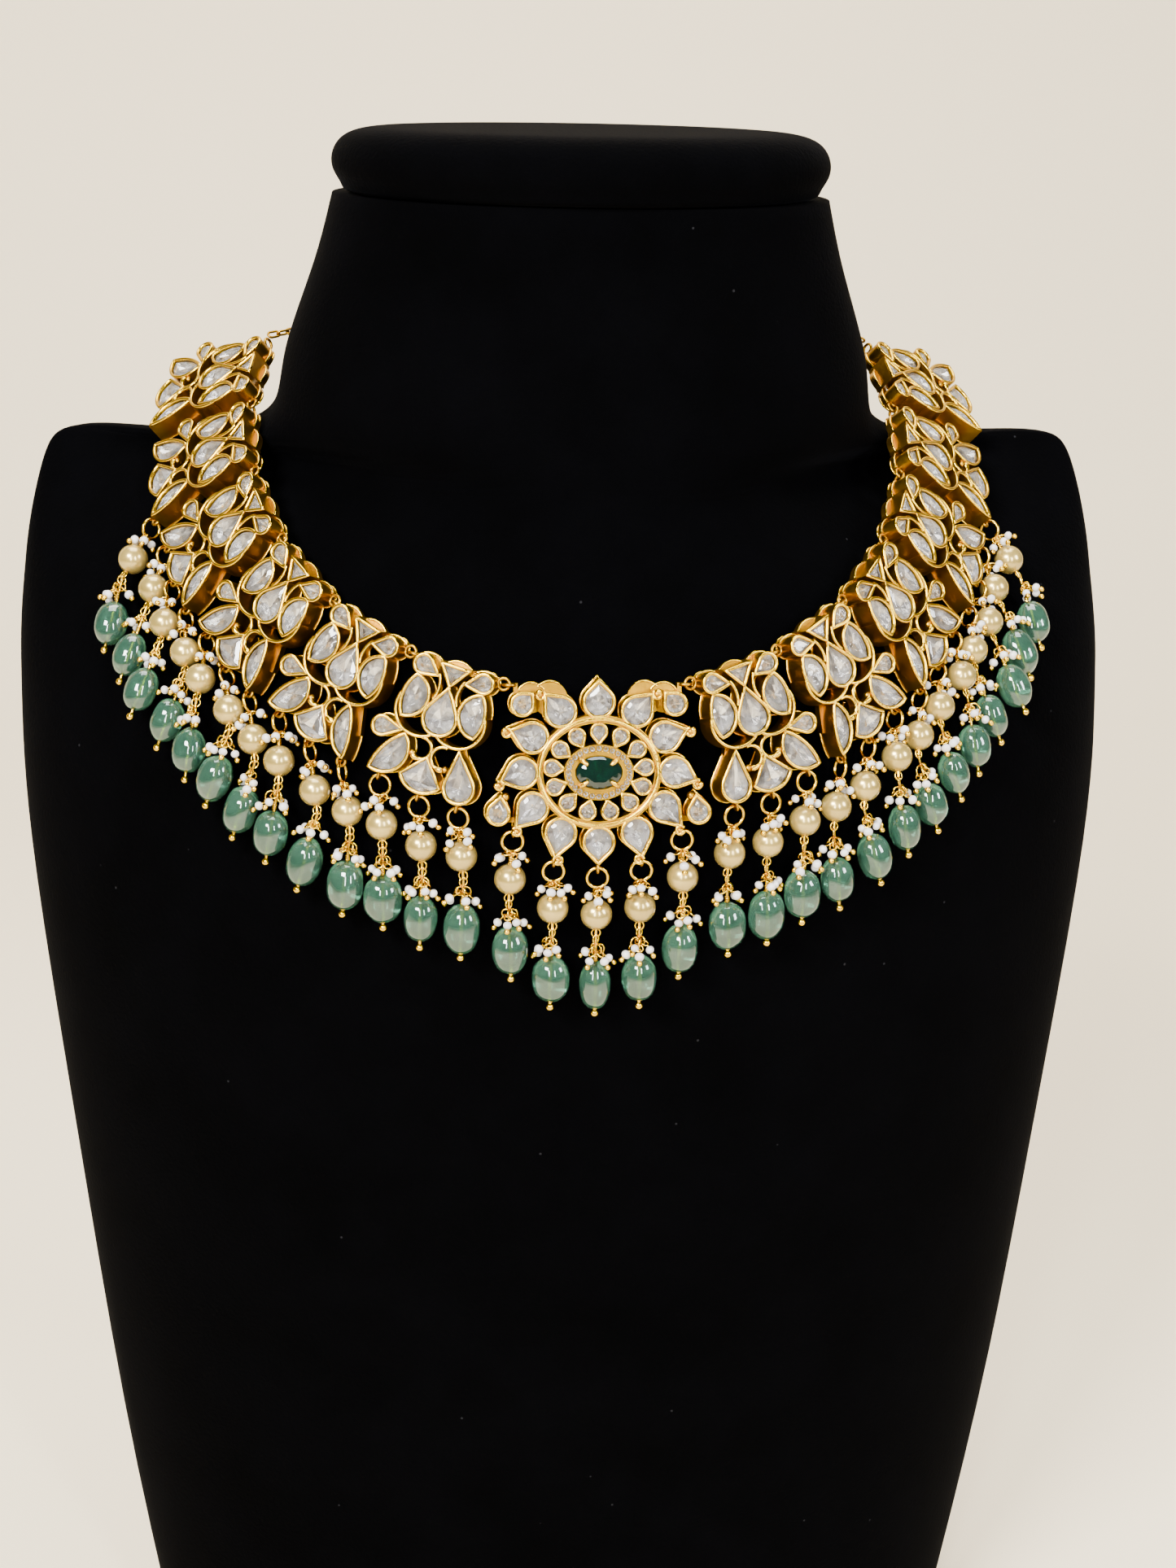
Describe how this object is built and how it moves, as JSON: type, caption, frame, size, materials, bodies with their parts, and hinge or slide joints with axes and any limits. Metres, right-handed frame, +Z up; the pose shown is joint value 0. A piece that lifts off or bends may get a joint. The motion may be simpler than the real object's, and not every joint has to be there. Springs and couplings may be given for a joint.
{
  "type": "kundan necklace on a neck bust",
  "caption": "Gold kundan collar of stone-set lotus links with an emerald centre piece and drops of pearls and green beads, worn on a black velvet neck bust.",
  "frame": {"origin": "middle of the bust's flat foot, on the surface that it stands on", "axes": "+X is the viewer's right, which is the wearer's left; +Y points to the back of the bust; +Z is up"},
  "size_m": [0.237, 0.1137, 0.351],
  "materials": {
    "velvet": "black velvet pile",
    "gold": "satin high-carat gold",
    "gold_wire": "bright gold wire",
    "polki_stone": "clear, foil-backed",
    "emerald": "faceted, dark green",
    "pearl": "cream lustre",
    "green_bead": "polished, cloudy green"
  },
  "bodies": {
    "root": {"bust_body": "velvet", "bust_cap": "velvet", "centre_setting": "gold", "centre_emerald": "emerald", "centre_stones": "polki_stone", "link_left_1": "gold", "link_left_2": "gold", "link_left_3": "gold", "link_left_4": "gold", "link_left_5": "gold", "link_left_6": "gold", "link_right_1": "gold", "link_right_2": "gold", "link_right_3": "gold", "link_right_4": "gold", "link_right_5": "gold", "link_right_6": "gold", "stones_left_1": "polki_stone", "stones_left_2": "polki_stone", "stones_left_3": "polki_stone", "stones_left_4": "polki_stone", "stones_left_5": "polki_stone", "stones_left_6": "polki_stone", "stones_right_1": "polki_stone", "stones_right_2": "polki_stone", "stones_right_3": "polki_stone", "stones_right_4": "polki_stone", "stones_right_5": "polki_stone", "stones_right_6": "polki_stone", "pins_left": "gold_wire", "pins_centre": "gold_wire", "pins_right": "gold_wire", "pearls_left": "pearl", "pearls_centre": "pearl", "pearls_right": "pearl", "beads_left": "green_bead", "beads_centre": "green_bead", "beads_right": "green_bead", "back_chain": "gold", "clasp": "gold"}
  },
  "joints": []
}
